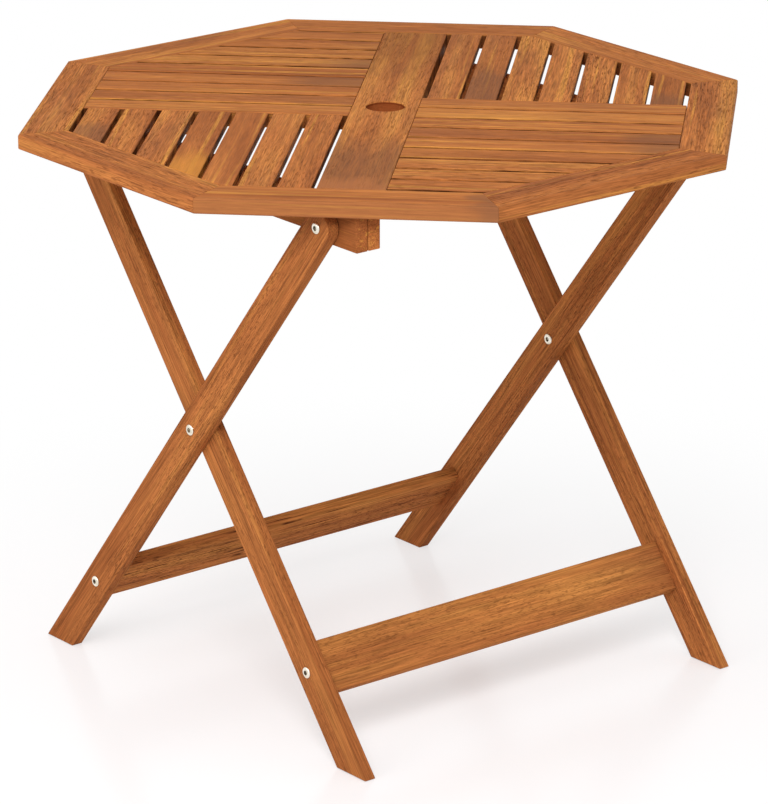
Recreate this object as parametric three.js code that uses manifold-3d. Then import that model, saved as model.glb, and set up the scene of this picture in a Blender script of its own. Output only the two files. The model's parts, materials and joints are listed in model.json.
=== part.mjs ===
import * as THREE from 'three';
import { mergeVertices } from 'three/addons/utils/BufferGeometryUtils.js';
import Module from 'manifold-3d';

// Folding octagonal garden table of oiled hardwood, with an umbrella hole.
// Millimetres. The floor is z = 0 under the middle of the table, +X right, +Y back, +Z up.
// Two leg frames cross like scissors. They stand on the diagonal, so their parts are drawn
// in a frame turned by an eighth of a turn: x runs across the frames, y runs along the fold.

const wasm = await Module();
wasm.setup();

// Whole table
const tableAcross = 890;
const tableHeight = 750;
const topThickness = 20;
const frameTurn = Math.PI / 4;
const halfTurn = Math.PI;

// Gaps and cuts
const fitGap = 0.3;
const runningGap = 0.5;
const cutOverrun = 5;

// Rim of eight mitred boards
const rimCount = 8;
const rimWidth = 60;
const rimOuterEase = 2.6;
const rimInnerEase = 1.4;
const mitreAngle = Math.PI / rimCount;

// Slats and centre board. The slats are thinner than the rim, the centre board and the
// first slat of each cross field, and flush with them above.
const slatWidth = 41.5;
const slatThickness = 11;
const slatGap = 6.5;
const slatEase = 1.4;
const centreBoardWidth = 85;
const crossFieldReach = 47;
const poleHoleDiameter = 50;
const poleHoleEase = 1.6;
const poleHoleSides = 40;

// Tongues of the slats, which sit in grooves
const tongueLength = 10;
const tongueThickness = 5;
const tongueShoulder = 3;

// Battens under the top
const battenThickness = 19;
const battenDepth = 46.2;
const battenEndInset = 129;
const battenEase = 1.5;
const spacerBackReach = 25;

// Legs
const legThickness = 18;
const legWidth = 44;
const legEase = 1.8;
const legSideInset = 127;
const pivotEndDistance = 54;
const pivotDrop = 23.3;
const footInset = 142.2;

// Stretchers
const stretcherWidth = 70;
const stretcherThickness = 18;
const stretcherEase = 3;
const stretcherHeight = 110;

// Crossbar and the notch that it rests in
const crossbarRadius = 13;
const crossbarDrop = 12;
const crossbarEase = 1.5;
const tenonRadius = 7;
const tenonLength = 12;
const notchRampAngle = Math.PI * 0.195;

// Bolts
const boltHeadRadius = 7.2;
const boltHeadRise = 2.2;
const boltShankRadius = 4;
const stretcherBoltRadius = 3.2;
const stretcherBoltLength = 62;
const socketRadius = 2.7;
const socketDepth = 1.7;
const socketSides = 6;
const headRimShare = 0.35;
const headShoulderShare = 0.82;
const headCrownShare = 0.72;
const headFlatShare = 0.5;

// Facets
const easeSteps = 2;
const cornerSteps = 2;
const legEndSteps = 9;
const notchSteps = 7;
const boreSides = 16;
const boltSides = 16;
const crossbarSides = 24;

// Heights and places that follow from the sizes above
const halfAcross = tableAcross / 2;
const innerReach = halfAcross - rimWidth;
const undersideHeight = tableHeight - topThickness;
const battenReach = halfAcross - battenEndInset;
const legOuterFace = halfAcross - legSideInset;
const pivotReach = battenReach - pivotEndDistance;
const footReach = halfAcross - footInset;
const pivotHeight = undersideHeight - pivotDrop;
const lean = Math.atan2(pivotReach + footReach, pivotHeight);
const leanSlope = Math.tan(lean);
const crossingHeight = footReach / leanSlope;
const innerLegOuterFace = legOuterFace - legThickness - runningGap;
const battenOuterFace = innerLegOuterFace - legThickness - runningGap;
const battenTop = undersideHeight - fitGap;
const battenBottom = battenTop - battenDepth;
const crossbarHeight = pivotHeight - crossbarDrop;
const grooveThickness = tongueThickness + 2 * fitGap;
const grooveDepth = tongueLength + fitGap;
const tongueMiddle = topThickness - slatThickness / 2;

const topWood = ['#b8743f', '#b06c38', '#c07c46', '#ab6836', '#bb773b'];
const legWood = '#a3622f';
const boltMetal = '#d9d2bf';

function woodMaterial(colour) {
  return new THREE.MeshStandardMaterial({ color: colour, roughness: 0.55, metalness: 0 });
}

function metalMaterial() {
  return new THREE.MeshStandardMaterial({ color: boltMetal, roughness: 0.3, metalness: 1 });
}

// Closed geometry to a solid for cutting and joining, and back
function toSolid(geometry) {
  const bare = geometry.clone();
  bare.deleteAttribute('normal');
  bare.deleteAttribute('uv');
  const merged = mergeVertices(bare);
  return new wasm.Manifold(new wasm.Mesh({
    numProp: 3,
    vertProperties: Float32Array.from(merged.attributes.position.array),
    triVerts: Uint32Array.from(merged.index.array),
  }));
}

function toGeometry(solid) {
  const mesh = solid.getMesh();
  const geometry = new THREE.BufferGeometry();
  geometry.setAttribute('position', new THREE.BufferAttribute(mesh.vertProperties, 3));
  geometry.setIndex(new THREE.BufferAttribute(mesh.triVerts, 1));
  geometry.computeVertexNormals();
  return geometry;
}

function cut(geometry, cutters) {
  let solid = toSolid(geometry);
  for (const cutter of cutters) {
    solid = solid.subtract(toSolid(cutter));
  }
  return toGeometry(solid);
}

function part(name, geometry, material) {
  const mesh = new THREE.Mesh(geometry, material);
  mesh.name = name;
  return mesh;
}

// A flat board with eased edges, standing on z = 0, from its outline in plan
function easedBoard(shape, thickness, ease, curveSegments) {
  const geometry = new THREE.ExtrudeGeometry(shape, {
    depth: thickness - 2 * ease,
    bevelEnabled: true,
    bevelThickness: ease,
    bevelSize: ease,
    bevelOffset: -ease,
    bevelSegments: easeSteps,
    curveSegments,
  });
  geometry.translate(0, 0, ease);
  return geometry;
}

// Turns a geometry drawn in plan so that its outline stands in the y-z plane and its
// thickness runs along +x from the given place
function standUp(geometry, from) {
  const turn = new THREE.Matrix4().makeBasis(
    new THREE.Vector3(0, 1, 0),
    new THREE.Vector3(0, 0, 1),
    new THREE.Vector3(1, 0, 0),
  );
  geometry.applyMatrix4(turn);
  geometry.translate(from, 0, 0);
  return geometry;
}

// A round cutter along x
function bore(radius, from, to, y, z) {
  const geometry = new THREE.CylinderGeometry(radius, radius, to - from, boreSides);
  geometry.rotateZ(-Math.PI / 2);
  geometry.translate((from + to) / 2, y, z);
  return geometry;
}

// Outlines of the top. Points are [x, y] pairs in order.
function rectangle(x0, x1, y0, y1) {
  return [[x0, y0], [x1, y0], [x1, y1], [x0, y1]];
}

// Keeps the part of an outline that lies inside the octagon of the given reach
function clipToOctagon(points, reach) {
  let kept = points;
  for (let side = 0; side < rimCount; side += 1) {
    const angle = side * 2 * mitreAngle;
    const across = Math.cos(angle);
    const along = Math.sin(angle);
    const next = [];
    kept.forEach((point, index) => {
      const last = kept[(index + kept.length - 1) % kept.length];
      const here = reach - across * point[0] - along * point[1];
      const before = reach - across * last[0] - along * last[1];
      if (here * before < 0) {
        const share = before / (before - here);
        next.push([last[0] + (point[0] - last[0]) * share, last[1] + (point[1] - last[1]) * share]);
      }
      if (here >= 0) {
        next.push(point);
      }
    });
    kept = next;
  }
  return kept;
}

function shapeOf(points) {
  return new THREE.Shape(points.map(([x, y]) => new THREE.Vector2(x, y)));
}

// A board of the top: its body inside the rim, with a tongue plate running out of its ends
function tonguedBoard(body, tongue, thickness) {
  const bodyShape = shapeOf(clipToOctagon(body, innerReach - fitGap));
  const board = easedBoard(bodyShape, thickness, slatEase, cornerSteps);
  board.translate(0, 0, topThickness - thickness);
  const tongueShape = shapeOf(clipToOctagon(tongue, innerReach + tongueLength));
  const plate = new THREE.ExtrudeGeometry(tongueShape, { depth: tongueThickness, bevelEnabled: false });
  plate.translate(0, 0, tongueMiddle - tongueThickness / 2);
  return toGeometry(toSolid(board).add(toSolid(plate)));
}

// A cutter for a groove in the edge of a board of the top, level with the tongues
function grooveCutter(x0, x1, y0, y1) {
  const geometry = new THREE.BoxGeometry(x1 - x0, y1 - y0, grooveThickness);
  geometry.translate((x0 + x1) / 2, (y0 + y1) / 2, tongueMiddle);
  return geometry;
}

// One rim board. Its section is drawn from the outer edge inwards, and each point of the
// section runs as far along the board as the mitre allows at its distance from the middle.
function rimBoard() {
  const grooveLow = tongueMiddle - grooveThickness / 2;
  const grooveHigh = grooveLow + grooveThickness;
  const quarter = Math.PI / 2;
  const section = new THREE.Shape();
  section.moveTo(rimOuterEase, 0);
  section.lineTo(rimWidth - rimInnerEase, 0);
  section.absarc(rimWidth - rimInnerEase, rimInnerEase, rimInnerEase, -quarter, 0);
  section.lineTo(rimWidth, grooveLow);
  section.lineTo(rimWidth - grooveDepth, grooveLow);
  section.lineTo(rimWidth - grooveDepth, grooveHigh);
  section.lineTo(rimWidth, grooveHigh);
  section.absarc(rimWidth - rimInnerEase, topThickness - rimInnerEase, rimInnerEase, 0, quarter);
  section.absarc(rimOuterEase, topThickness - rimOuterEase, rimOuterEase, quarter, 2 * quarter);
  section.absarc(rimOuterEase, rimOuterEase, rimOuterEase, 2 * quarter, 3 * quarter);
  const geometry = new THREE.ExtrudeGeometry(section, {
    depth: 1,
    bevelEnabled: false,
    curveSegments: cornerSteps,
  });
  const place = geometry.attributes.position;
  const endGap = fitGap / 2 / Math.cos(mitreAngle);
  for (let i = 0; i < place.count; i += 1) {
    const inward = place.getX(i);
    const height = place.getY(i);
    const side = 2 * place.getZ(i) - 1;
    const halfLength = (halfAcross - inward) * Math.tan(mitreAngle) - endGap;
    place.setXYZ(i, side * halfLength, inward - halfAcross, height);
  }
  geometry.computeVertexNormals();
  return geometry;
}

function addRim(top) {
  const names = ['front', 'front_right', 'right', 'back_right', 'back', 'back_left', 'left', 'front_left'];
  names.forEach((name, index) => {
    const board = part(`rim_${name}`, rimBoard(), woodMaterial(topWood[index % topWood.length]));
    board.rotation.z = index * 2 * mitreAngle;
    top.add(board);
  });
}

// Board down the middle, with the hole for the pole and a groove for each half's slats
function centreBoard() {
  const half = centreBoardWidth / 2;
  const body = rectangle(-half, half, -halfAcross, halfAcross);
  const plateHalf = half - grooveDepth - tongueShoulder;
  const tongue = rectangle(-plateHalf, plateHalf, -halfAcross, halfAcross);
  const hole = new THREE.CylinderGeometry(
    poleHoleDiameter / 2, poleHoleDiameter / 2, topThickness + 2 * cutOverrun, poleHoleSides);
  hole.rotateX(Math.PI / 2);
  hole.translate(0, 0, topThickness / 2);
  const funnelTop = poleHoleDiameter / 2 + poleHoleEase + cutOverrun;
  const funnel = new THREE.CylinderGeometry(
    funnelTop, poleHoleDiameter / 2, poleHoleEase + cutOverrun, poleHoleSides);
  funnel.rotateX(Math.PI / 2);
  funnel.translate(0, 0, topThickness - poleHoleEase + (poleHoleEase + cutOverrun) / 2);
  return cut(tonguedBoard(body, tongue, topThickness), [
    hole,
    funnel,
    grooveCutter(half - grooveDepth, half + cutOverrun, -halfAcross, crossFieldReach),
    grooveCutter(-half - cutOverrun, grooveDepth - half, -crossFieldReach, halfAcross),
  ]);
}

// Slat across one half of the top, from the centre board to the rim. The first one ends
// the other field, so its outer edge has the groove for that field's tongues.
function crossSlat(outerEdge, isFirst) {
  const start = centreBoardWidth / 2 + fitGap;
  const body = rectangle(start, halfAcross, outerEdge - slatWidth, outerEdge);
  const tongue = rectangle(
    start - fitGap - tongueLength, halfAcross,
    outerEdge - slatWidth + tongueShoulder, outerEdge - tongueShoulder);
  const board = tonguedBoard(body, tongue, isFirst ? topThickness : slatThickness);
  if (!isFirst) {
    return board;
  }
  const groove = grooveCutter(
    start - grooveDepth - cutOverrun, halfAcross, outerEdge - grooveDepth, outerEdge + cutOverrun);
  return cut(board, [groove]);
}

// Slat that runs to the rim from the first slat of the other field
function lengthSlat(nearEdge) {
  const start = crossFieldReach + fitGap;
  const body = rectangle(nearEdge, nearEdge + slatWidth, start, halfAcross);
  const tongue = rectangle(
    nearEdge + tongueShoulder, nearEdge + slatWidth - tongueShoulder,
    start - fitGap - tongueLength, halfAcross);
  return tonguedBoard(body, tongue, slatThickness);
}

// The two halves of the top are alike, half a turn apart
function addSlats(top) {
  const crossRoom = innerReach + crossFieldReach;
  const crossCount = Math.round(crossRoom / (slatWidth + slatGap));
  const crossPitch = crossRoom / crossCount;
  const lengthRoom = innerReach - centreBoardWidth / 2;
  const lengthCount = Math.round((lengthRoom - slatGap) / (slatWidth + slatGap));
  const lengthGap = (lengthRoom - lengthCount * slatWidth) / (lengthCount + 1);
  const fields = [
    { cross: 'right', length: 'back_right', turn: 0 },
    { cross: 'left', length: 'front_left', turn: halfTurn },
  ];
  for (const field of fields) {
    const half = new THREE.Group();
    half.rotation.z = field.turn;
    for (let i = 0; i < crossCount; i += 1) {
      const tone = topWood[(2 * i + 1) % topWood.length];
      const slat = crossSlat(crossFieldReach - i * crossPitch, i === 0);
      half.add(part(`slat_${field.cross}_${i + 1}`, slat, woodMaterial(tone)));
    }
    for (let i = 0; i < lengthCount; i += 1) {
      const tone = topWood[(3 * i + 2) % topWood.length];
      const slat = lengthSlat(centreBoardWidth / 2 + lengthGap + i * (slatWidth + lengthGap));
      half.add(part(`slat_${field.length}_${i + 1}`, slat, woodMaterial(tone)));
    }
    top.add(half);
  }
}

// The middle line of a leg, as the distance along the fold at a height
function legLine(height) {
  return footReach - leanSlope * height;
}

// Batten that carries the pivot at one end and rests on the crossbar at the other. The
// notch is round over the bar, upright on the side that takes the thrust, and ramped on
// the side where the bar leaves it.
function battenOutline() {
  const notchRadius = crossbarRadius + runningGap;
  const barPlace = -legLine(crossbarHeight);
  const rampTop = Math.PI / 2 + notchRampAngle;
  const rampStartHeight = crossbarHeight + notchRadius * Math.sin(rampTop);
  const rampStart = barPlace + notchRadius * Math.cos(rampTop);
  const rampEnd = rampStart - (rampStartHeight - battenBottom) / Math.tan(notchRampAngle);
  const shape = new THREE.Shape();
  shape.moveTo(-battenReach, battenBottom);
  shape.lineTo(rampEnd, battenBottom);
  shape.lineTo(rampStart, rampStartHeight);
  shape.absarc(barPlace, crossbarHeight, notchRadius, rampTop, 0, true);
  shape.lineTo(barPlace + notchRadius, battenBottom);
  shape.lineTo(battenReach, battenBottom);
  shape.lineTo(battenReach, battenTop);
  shape.lineTo(-battenReach, battenTop);
  shape.closePath();
  return shape;
}

function batten(from) {
  const board = standUp(easedBoard(battenOutline(), battenThickness, battenEase, notchSteps), from);
  const to = from + battenThickness;
  const hole = bore(boltShankRadius + fitGap, from - cutOverrun, to + cutOverrun, -pivotReach, pivotHeight);
  return cut(board, [hole]);
}

// Block between the outer leg and its batten
function spacerBlock() {
  const from = fitGap - legOuterFace + legThickness;
  const to = -battenOuterFace - fitGap;
  const outline = shapeOf(rectangle(-battenReach, spacerBackReach - pivotReach, battenBottom, battenTop));
  const block = standUp(easedBoard(outline, to - from, battenEase, cornerSteps), from);
  const hole = bore(boltShankRadius + fitGap, from - cutOverrun, to + cutOverrun, -pivotReach, pivotHeight);
  return cut(block, [hole]);
}

function addBattens(top) {
  const under = new THREE.Group();
  under.rotation.z = frameTurn;
  under.add(part('batten_left', batten(-battenOuterFace), woodMaterial(topWood[1])));
  under.add(part('batten_right', batten(battenOuterFace - battenThickness), woodMaterial(topWood[3])));
  under.add(part('spacer_block', spacerBlock(), woodMaterial(topWood[0])));
  top.add(under);
}

// Leg seen from the side: foot cut level with the floor, straight sides, round upper end
function legOutline() {
  const halfWidth = legWidth / 2;
  const halfFoot = halfWidth / Math.cos(lean);
  const shape = new THREE.Shape();
  shape.moveTo(footReach - halfFoot, 0);
  shape.lineTo(footReach + halfFoot, 0);
  shape.absarc(-pivotReach, pivotHeight, halfWidth, lean, lean + Math.PI);
  shape.closePath();
  return shape;
}

// Leg with its bores. The upper one is the pivot's on one frame and the tenon's on the other.
function leg(from, upperBore) {
  const board = standUp(easedBoard(legOutline(), legThickness, legEase, legEndSteps), from);
  const before = from - cutOverrun;
  const after = from + legThickness + cutOverrun;
  return cut(board, [
    bore(boltShankRadius + fitGap, before, after, 0, crossingHeight),
    bore(stretcherBoltRadius + fitGap, before, after, legLine(stretcherHeight), stretcherHeight),
    upperBore,
  ]);
}

// The stretcher and the crossbar run between the inner faces of a frame's two legs
const spanFrom = legThickness - legOuterFace + fitGap;
const spanTo = innerLegOuterFace - legThickness - fitGap;

// Stretcher: a board with rounded edges whose faces lie along the legs
function stretcher() {
  const halfWidth = stretcherWidth / 2;
  const halfThickness = stretcherThickness / 2;
  const quarter = Math.PI / 2;
  const corners = [[1, -1], [1, 1], [-1, 1], [-1, -1]];
  const section = new THREE.Shape();
  corners.forEach(([a, b], index) => {
    const x = a * (halfWidth - stretcherEase);
    const y = b * (halfThickness - stretcherEase);
    section.absarc(x, y, stretcherEase, (index - 1) * quarter, index * quarter);
  });
  const geometry = new THREE.ExtrudeGeometry(section, {
    depth: spanTo - spanFrom,
    bevelEnabled: false,
    curveSegments: cornerSteps,
  });
  const turn = new THREE.Matrix4().makeBasis(
    new THREE.Vector3(0, -Math.sin(lean), Math.cos(lean)),
    new THREE.Vector3(0, -Math.cos(lean), -Math.sin(lean)),
    new THREE.Vector3(1, 0, 0),
  );
  geometry.applyMatrix4(turn);
  geometry.translate(spanFrom, legLine(stretcherHeight), stretcherHeight);
  const depth = stretcherBoltLength - legThickness + 2 * fitGap;
  const radius = stretcherBoltRadius + fitGap;
  return cut(geometry, [
    bore(radius, spanFrom - cutOverrun, spanFrom + depth, legLine(stretcherHeight), stretcherHeight),
    bore(radius, spanTo - depth, spanTo + cutOverrun, legLine(stretcherHeight), stretcherHeight),
  ]);
}

// Crossbar: a turned rod with a tenon at each end that sits in the legs
function crossbar() {
  const bottom = spanFrom - tenonLength;
  const top = spanTo + tenonLength;
  const profile = [
    [0, bottom],
    [tenonRadius, bottom],
    [tenonRadius, spanFrom],
    [crossbarRadius - crossbarEase, spanFrom],
    [crossbarRadius, spanFrom + crossbarEase],
    [crossbarRadius, spanTo - crossbarEase],
    [crossbarRadius - crossbarEase, spanTo],
    [tenonRadius, spanTo],
    [tenonRadius, top],
    [0, top],
  ].map(([radius, along]) => new THREE.Vector2(radius, along));
  const geometry = new THREE.LatheGeometry(profile, crossbarSides);
  geometry.rotateZ(-Math.PI / 2);
  geometry.translate(0, legLine(crossbarHeight), crossbarHeight);
  return toGeometry(toSolid(geometry));
}

// Profile of one flat domed head, from the middle of its crown to its seat on the wood.
// Direction is -1 for a head at the start of the bolt and 1 for one at its end.
function headProfile(seat, direction) {
  const rise = (share) => seat + direction * boltHeadRise * share;
  return [
    [0, rise(1)],
    [boltHeadRadius * headFlatShare, rise(1)],
    [boltHeadRadius * headShoulderShare, rise(headCrownShare)],
    [boltHeadRadius, rise(headRimShare)],
    [boltHeadRadius, seat],
  ];
}

function socketCutter(seat, direction) {
  const crown = seat + direction * boltHeadRise;
  const geometry = new THREE.CylinderGeometry(
    socketRadius, socketRadius, socketDepth + cutOverrun, socketSides);
  geometry.translate(0, crown - direction * (socketDepth - cutOverrun) / 2, 0);
  return geometry;
}

// Bolt turned round the y axis and laid along x, with its head's seat at zero. With a nut it
// has the wide cap of a connector bolt at the far end, and without one it ends plain.
function bolt(length, radius, hasNut) {
  const start = -fitGap;
  const end = hasNut ? length + fitGap : length;
  const profile = [...headProfile(start, -1), [radius, start], [radius, end]];
  const cutters = [socketCutter(start, -1)];
  if (hasNut) {
    profile.push(...headProfile(end, 1).reverse());
    cutters.push(socketCutter(end, 1));
  } else {
    profile.push([0, end]);
  }
  const points = profile.map(([r, along]) => new THREE.Vector2(r, along));
  const geometry = cut(new THREE.LatheGeometry(points, boltSides), cutters);
  geometry.rotateZ(-Math.PI / 2);
  return geometry;
}

function boltPart(name, geometry, x, y, z, turned) {
  const mesh = part(name, geometry, metalMaterial());
  mesh.position.set(x, y, z);
  mesh.rotation.z = turned ? halfTurn : 0;
  return mesh;
}

// Legs, stretcher and stretcher bolts of one frame, drawn with the feet at +y
function legFrame(names, outerUpperBore, innerUpperBore) {
  const frame = new THREE.Group();
  const outerLeg = leg(-legOuterFace, outerUpperBore);
  const innerLeg = leg(innerLegOuterFace - legThickness, innerUpperBore);
  frame.add(part(names.outerLeg, outerLeg, woodMaterial(legWood)));
  frame.add(part(names.innerLeg, innerLeg, woodMaterial(legWood)));
  frame.add(part(names.stretcher, stretcher(), woodMaterial(legWood)));
  const stretcherBolt = () => bolt(stretcherBoltLength, stretcherBoltRadius, false);
  const place = legLine(stretcherHeight);
  frame.add(boltPart(names.outerBolt, stretcherBolt(), -legOuterFace, place, stretcherHeight, false));
  frame.add(boltPart(names.innerBolt, stretcherBolt(), innerLegOuterFace, place, stretcherHeight, true));
  return frame;
}

// Frame whose upper ends are bolted to the battens
function pivotFrame() {
  const outerTo = legThickness - legOuterFace;
  const innerFrom = innerLegOuterFace - legThickness;
  const radius = boltShankRadius + fitGap;
  const frame = legFrame(
    {
      outerLeg: 'pivot_leg_left',
      innerLeg: 'pivot_leg_right',
      stretcher: 'back_stretcher',
      outerBolt: 'back_stretcher_bolt_left',
      innerBolt: 'back_stretcher_bolt_right',
    },
    bore(radius, -legOuterFace - cutOverrun, outerTo + cutOverrun, -pivotReach, pivotHeight),
    bore(radius, innerFrom - cutOverrun, innerLegOuterFace + cutOverrun, -pivotReach, pivotHeight),
  );
  frame.rotation.z = frameTurn;
  return frame;
}

// Frame that carries the crossbar, half a turn from the other
function crossbarFrame() {
  const outerTo = legThickness - legOuterFace;
  const innerFrom = innerLegOuterFace - legThickness;
  const radius = tenonRadius + fitGap;
  const depth = tenonLength;
  const place = legLine(crossbarHeight);
  const frame = legFrame(
    {
      outerLeg: 'crossbar_leg_right',
      innerLeg: 'crossbar_leg_left',
      stretcher: 'front_stretcher',
      outerBolt: 'front_stretcher_bolt_right',
      innerBolt: 'front_stretcher_bolt_left',
    },
    bore(radius, outerTo - depth, outerTo + cutOverrun, place, crossbarHeight),
    bore(radius, innerFrom - cutOverrun, innerFrom + depth, place, crossbarHeight),
  );
  frame.add(part('crossbar', crossbar(), woodMaterial(legWood)));
  frame.rotation.z = frameTurn + halfTurn;
  return frame;
}

// Bolts through both legs where they cross, and through leg and batten at the pivot
function connectorBolts() {
  const bolts = new THREE.Group();
  bolts.rotation.z = frameTurn;
  const crossingGrip = 2 * legThickness + runningGap;
  const leftGrip = legOuterFace - battenOuterFace + battenThickness;
  const rightGrip = innerLegOuterFace - battenOuterFace + battenThickness;
  const crossing = () => bolt(crossingGrip, boltShankRadius, true);
  const left = bolt(leftGrip, boltShankRadius, true);
  const right = bolt(rightGrip, boltShankRadius, true);
  bolts.add(boltPart('crossing_bolt_left', crossing(), -legOuterFace, 0, crossingHeight, false));
  bolts.add(boltPart('crossing_bolt_right', crossing(), legOuterFace, 0, crossingHeight, true));
  bolts.add(boltPart('pivot_bolt_left', left, -legOuterFace, -pivotReach, pivotHeight, false));
  bolts.add(boltPart('pivot_bolt_right', right, innerLegOuterFace, -pivotReach, pivotHeight, true));
  return bolts;
}

function tableTop() {
  const top = new THREE.Group();
  const boards = new THREE.Group();
  boards.position.z = undersideHeight;
  addRim(boards);
  boards.add(part('centre_board', centreBoard(), woodMaterial(topWood[2])));
  addSlats(boards);
  top.add(boards);
  addBattens(top);
  return top;
}

const table = new THREE.Group();
table.add(tableTop());
table.add(pivotFrame());
table.add(crossbarFrame());
table.add(connectorBolts());

export default table;
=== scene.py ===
import json
import math
import bpy
import numpy as np
from mathutils import Matrix, Vector
from mathutils.geometry import convex_hull_2d, tessellate_polygon


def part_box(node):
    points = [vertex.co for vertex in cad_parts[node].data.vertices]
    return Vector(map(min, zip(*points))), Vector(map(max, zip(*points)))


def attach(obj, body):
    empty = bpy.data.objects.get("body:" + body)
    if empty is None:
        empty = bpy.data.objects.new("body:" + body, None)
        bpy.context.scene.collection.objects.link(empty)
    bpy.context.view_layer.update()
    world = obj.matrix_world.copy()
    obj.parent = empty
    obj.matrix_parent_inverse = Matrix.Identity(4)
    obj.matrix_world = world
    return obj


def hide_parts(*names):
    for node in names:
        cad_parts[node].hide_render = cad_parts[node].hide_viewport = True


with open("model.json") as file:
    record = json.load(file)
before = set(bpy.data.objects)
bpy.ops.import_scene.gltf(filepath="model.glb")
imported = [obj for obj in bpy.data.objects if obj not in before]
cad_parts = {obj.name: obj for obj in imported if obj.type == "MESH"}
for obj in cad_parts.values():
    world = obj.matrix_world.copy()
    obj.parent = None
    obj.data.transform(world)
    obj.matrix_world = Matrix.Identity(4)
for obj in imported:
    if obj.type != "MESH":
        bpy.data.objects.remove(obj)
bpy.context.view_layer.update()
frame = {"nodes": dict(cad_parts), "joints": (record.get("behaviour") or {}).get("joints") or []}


# Camera
# The photograph was taken with a long lens, from a little right of the front and above
# the top. The place and the angles were fitted to the corners of the top and the feet.
camera_data = bpy.data.cameras.new("camera")
camera_data.sensor_width = 36.0
camera_data.lens = 213.25
camera = bpy.data.objects.new("camera", camera_data)
camera.location = (0.6367, -5.8837, 2.3471)
camera.rotation_euler = (math.pi / 2 - 0.3256, 0.0, 0.1081)
bpy.context.scene.collection.objects.link(camera)
bpy.context.scene.camera = camera


# Hardwood of the top and the legs
# Oiled plantation hardwood: golden to reddish bands along each board, growth lines, short
# dark pores and broken dark lines. Each board is cut from its own place in the timber.
def add_node(tree, kind, inputs=None, **options):
    """Adds a shader node, sets its options, and fills or links its inputs."""
    made = tree.nodes.new(kind)
    for option, value in options.items():
        setattr(made, option, value)
    for socket, value in (inputs or {}).items():
        if isinstance(value, bpy.types.NodeSocket):
            tree.links.new(value, made.inputs[socket])
        else:
            made.inputs[socket].default_value = value
    return made


def calculate(tree, operation, first, second=0.0):
    """One sum on numbers, such as ADD or MULTIPLY."""
    return add_node(tree, "ShaderNodeMath", {0: first, 1: second}, operation=operation).outputs[0]


def fibre_noise(tree, vector, counts, detail=2.0):
    """Noise drawn out along the grain: counts are features per metre along, across, through."""
    stretched = add_node(tree, "ShaderNodeVectorMath", {0: vector, 1: counts}, operation="MULTIPLY")
    inputs = {"Vector": stretched.outputs[0], "Scale": 1.0, "Detail": detail}
    return add_node(tree, "ShaderNodeTexNoise", inputs).outputs[0]


def threshold(tree, value, low, high):
    """A smooth step of a value from 0 at low to 1 at high."""
    inputs = {"Value": value, "From Min": low, "From Max": high}
    return add_node(tree, "ShaderNodeMapRange", inputs, interpolation_type="SMOOTHSTEP").outputs[0]


def mix_colours(tree, factor, first, second):
    """Two colours mixed by a factor."""
    inputs = {0: factor, 6: first, 7: second}
    return add_node(tree, "ShaderNodeMix", inputs, data_type="RGBA").outputs[2]


def paint(red, green, blue):
    """A colour given on the 0 to 255 scale of a screen, as linear light."""
    share = np.array([red, green, blue]) / 255
    linear = np.where(share > 0.04045, ((share + 0.055) / 1.055) ** 2.4, share / 12.92)
    return (*linear.tolist(), 1.0)


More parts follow.
